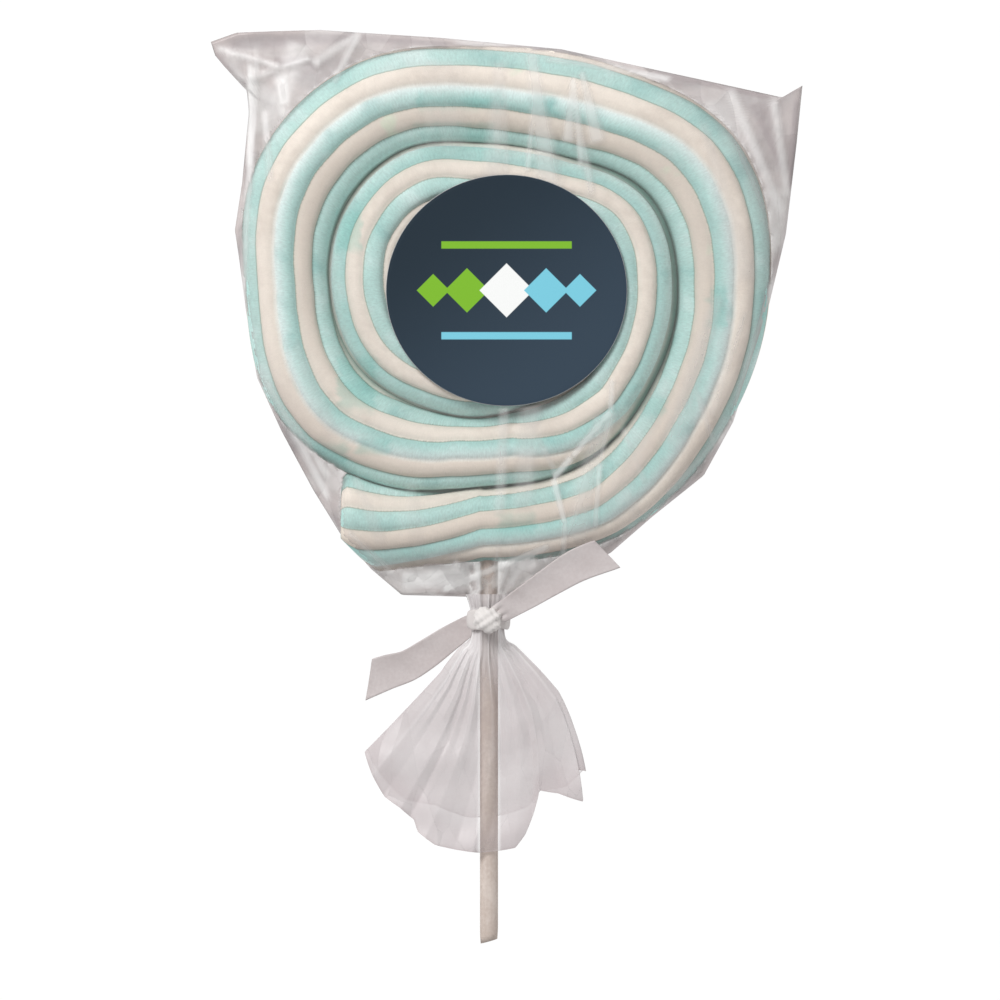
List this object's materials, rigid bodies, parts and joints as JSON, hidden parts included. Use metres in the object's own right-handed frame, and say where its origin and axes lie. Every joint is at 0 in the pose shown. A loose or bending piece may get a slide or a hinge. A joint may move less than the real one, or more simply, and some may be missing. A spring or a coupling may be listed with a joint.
{
  "type": "marshmallow twist lollipop in a clear tied bag",
  "caption": "Flat coil of striped aqua and cream marshmallow rope on a paper stick, in a clear bag tied with a ribbon, with a round label on its front.",
  "frame": {"origin": "Under the middle of the bounding box, on the surface that the lollipop lies on.", "axes": "+Y runs along the stick to the top of the bag, +Z out of the labelled front, +X to the right seen from the front."},
  "size_m": [0.1233, 0.1898, 0.0171],
  "materials": {
    "marshmallow": "soft powdery aqua and cream marshmallow under clear film",
    "label": "satin navy printed paper with a plain pattern of diamonds and bars",
    "ribbon": "matt off-white ribbon",
    "stick": "matt rolled paper"
  },
  "bodies": {
    "root": {"filled_bag": "marshmallow", "label": "label", "ribbon": "ribbon", "stick": "stick"}
  },
  "joints": []
}
